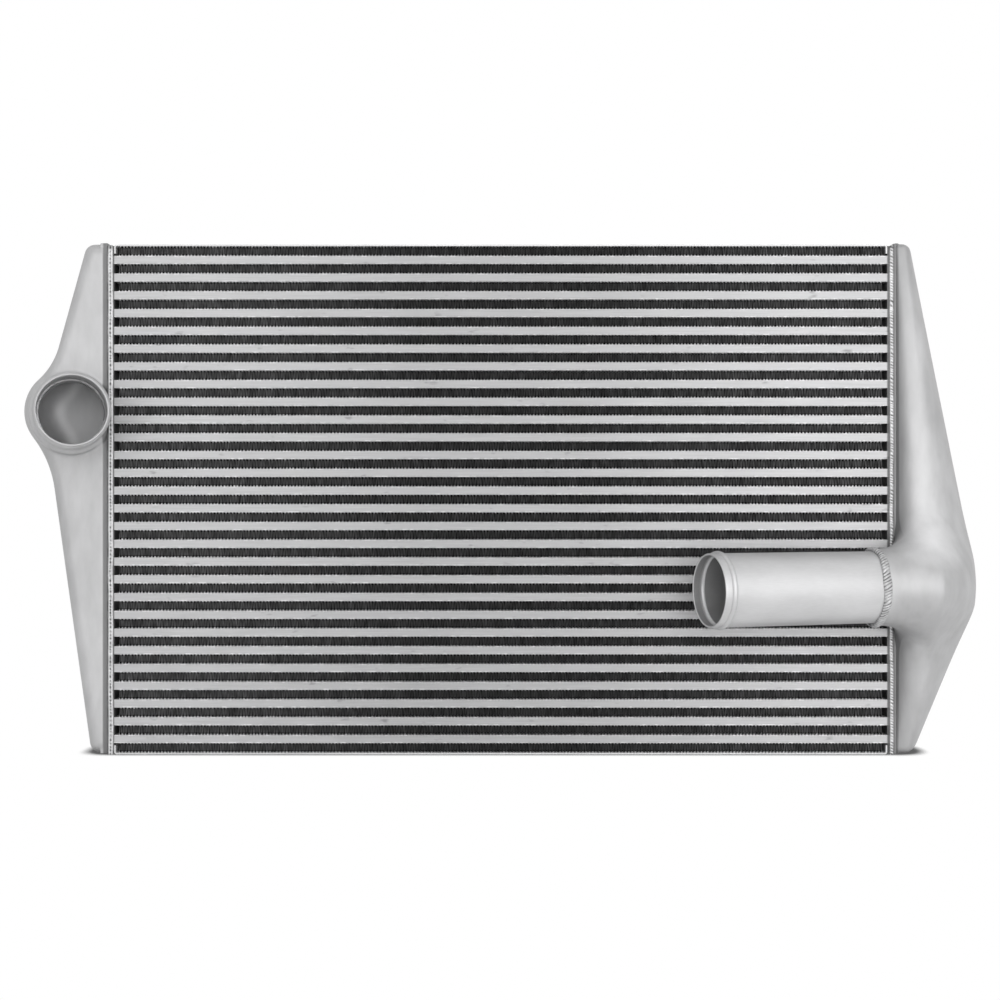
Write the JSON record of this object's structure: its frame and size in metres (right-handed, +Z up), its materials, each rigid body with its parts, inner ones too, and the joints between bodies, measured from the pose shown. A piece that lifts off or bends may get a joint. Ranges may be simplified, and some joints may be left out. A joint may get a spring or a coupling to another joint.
{
  "type": "intercooler",
  "caption": "Bar-and-plate air-to-air intercooler with cast end tanks, a forward-facing beaded inlet neck and a long beaded outlet tube on an elbow.",
  "frame": {"origin": "middle of the core's flat underside", "axes": "+X along the core towards the outlet tank, +Y away from the side with the hose necks, +Z up"},
  "size_m": [0.9621, 0.1951, 0.5117],
  "materials": {
    "channel_bar": "satin",
    "fin_sheet": "matte",
    "header_bar": "matte",
    "side_sheet": "satin",
    "tank_casting": "satin",
    "drawn_tube": "satin",
    "weld_bead": "satin"
  },
  "bodies": {
    "root": {"air_fins": "fin_sheet", "bottom_side_sheet": "side_sheet", "charge_channel_01": "channel_bar", "charge_channel_02": "channel_bar", "charge_channel_03": "channel_bar", "charge_channel_04": "channel_bar", "charge_channel_05": "channel_bar", "charge_channel_06": "channel_bar", "charge_channel_07": "channel_bar", "charge_channel_08": "channel_bar", "charge_channel_09": "channel_bar", "charge_channel_10": "channel_bar", "charge_channel_11": "channel_bar", "charge_channel_12": "channel_bar", "charge_channel_13": "channel_bar", "charge_channel_14": "channel_bar", "charge_channel_15": "channel_bar", "charge_channel_16": "channel_bar", "charge_channel_17": "channel_bar", "charge_channel_18": "channel_bar", "charge_channel_19": "channel_bar", "charge_channel_20": "channel_bar", "charge_channel_21": "channel_bar", "charge_channel_22": "channel_bar", "charge_channel_23": "channel_bar", "charge_channel_24": "channel_bar", "charge_channel_25": "channel_bar", "charge_channel_26": "channel_bar", "charge_channel_27": "channel_bar", "charge_channel_28": "channel_bar", "left_header_bars": "header_bar", "left_header_weld": "weld_bead", "left_tank": "tank_casting", "outlet_tube": "drawn_tube", "outlet_weld": "weld_bead", "right_header_bars": "header_bar", "right_header_weld": "weld_bead", "right_tank": "tank_casting", "top_side_sheet": "side_sheet", "turbulators": "fin_sheet"}
  },
  "joints": []
}
